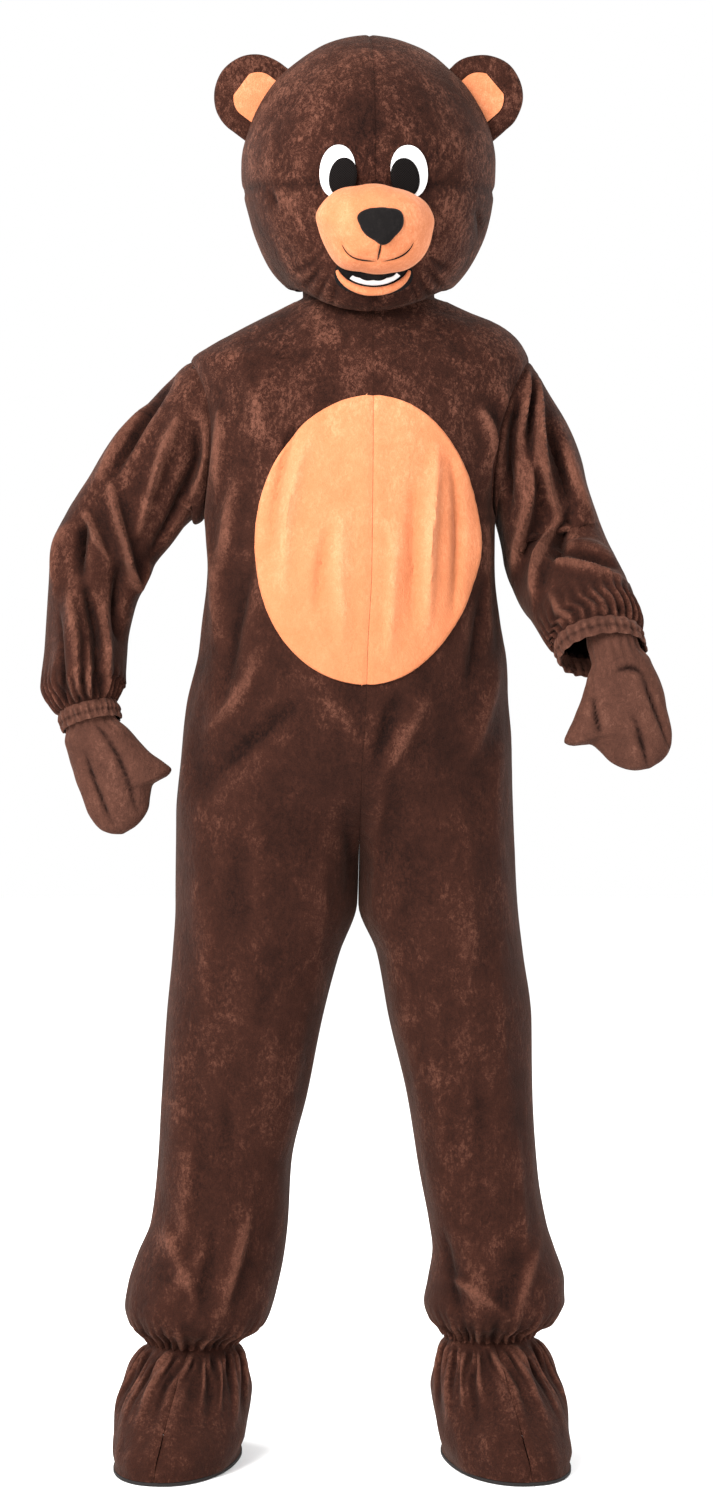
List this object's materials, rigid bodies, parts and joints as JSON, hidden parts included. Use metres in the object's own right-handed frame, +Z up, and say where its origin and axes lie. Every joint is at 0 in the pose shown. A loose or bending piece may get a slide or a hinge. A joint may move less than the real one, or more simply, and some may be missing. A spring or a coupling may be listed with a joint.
{
  "type": "bear costume",
  "caption": "Plush bear costume as worn, standing: big padded head, brown jumpsuit with a tan oval on its belly, mittens and gathered shoe covers.",
  "frame": {"origin": "between the wearer's shoulders, at the base of the neck", "axes": "+Z up the wearer, -Y to the costume's front, +X to its own left, the viewer's right"},
  "size_m": [0.8047, 0.3854, 1.842],
  "materials": {
    "brown_plush": "short dark brown pile with a soft nap",
    "tan_plush": "short tan pile",
    "white_felt": "matt felt",
    "black_mesh": "see-through mesh",
    "black_plush": "smooth short pile",
    "sole_cloth": "matt grip cloth"
  },
  "bodies": {
    "root": {"front_left_chest": "brown_plush", "front_left_hips": "brown_plush", "front_left_thigh": "brown_plush", "front_left_calf": "brown_plush", "front_right_chest": "brown_plush", "front_right_hips": "brown_plush", "front_right_thigh": "brown_plush", "front_right_calf": "brown_plush", "back_left_chest": "brown_plush", "back_left_hips": "brown_plush", "back_left_thigh": "brown_plush", "back_left_calf": "brown_plush", "back_right_chest": "brown_plush", "back_right_hips": "brown_plush", "back_right_thigh": "brown_plush", "back_right_calf": "brown_plush", "belly_left": "tan_plush", "belly_right": "tan_plush", "back_flap": "brown_plush", "sleeve_left_upper": "brown_plush", "sleeve_left_lower": "brown_plush", "sleeve_right_upper": "brown_plush", "sleeve_right_lower": "brown_plush", "cuff_left": "brown_plush", "cuff_right": "brown_plush", "mitten_back_left": "brown_plush", "mitten_palm_left": "brown_plush", "mitten_back_right": "brown_plush", "mitten_palm_right": "brown_plush", "neckband": "brown_plush", "shoe_cover_outer_left": "brown_plush", "shoe_cover_inner_left": "brown_plush", "shoe_cover_outer_right": "brown_plush", "shoe_cover_inner_right": "brown_plush", "sole_left": "sole_cloth", "sole_right": "sole_cloth", "forehead_left": "brown_plush", "forehead_right": "brown_plush", "cheek_left": "brown_plush", "cheek_right": "brown_plush", "head_back_left": "brown_plush", "head_back_right": "brown_plush", "ear_left": "brown_plush", "ear_right": "brown_plush", "ear_lining_left": "tan_plush", "ear_lining_right": "tan_plush", "eye_white_left": "white_felt", "eye_white_right": "white_felt", "eye_mesh_left": "black_mesh", "eye_mesh_right": "black_mesh", "muzzle": "tan_plush", "nose": "black_plush", "mouth_lining": "black_plush", "lower_lip": "tan_plush", "teeth": "white_felt"}
  },
  "joints": []
}
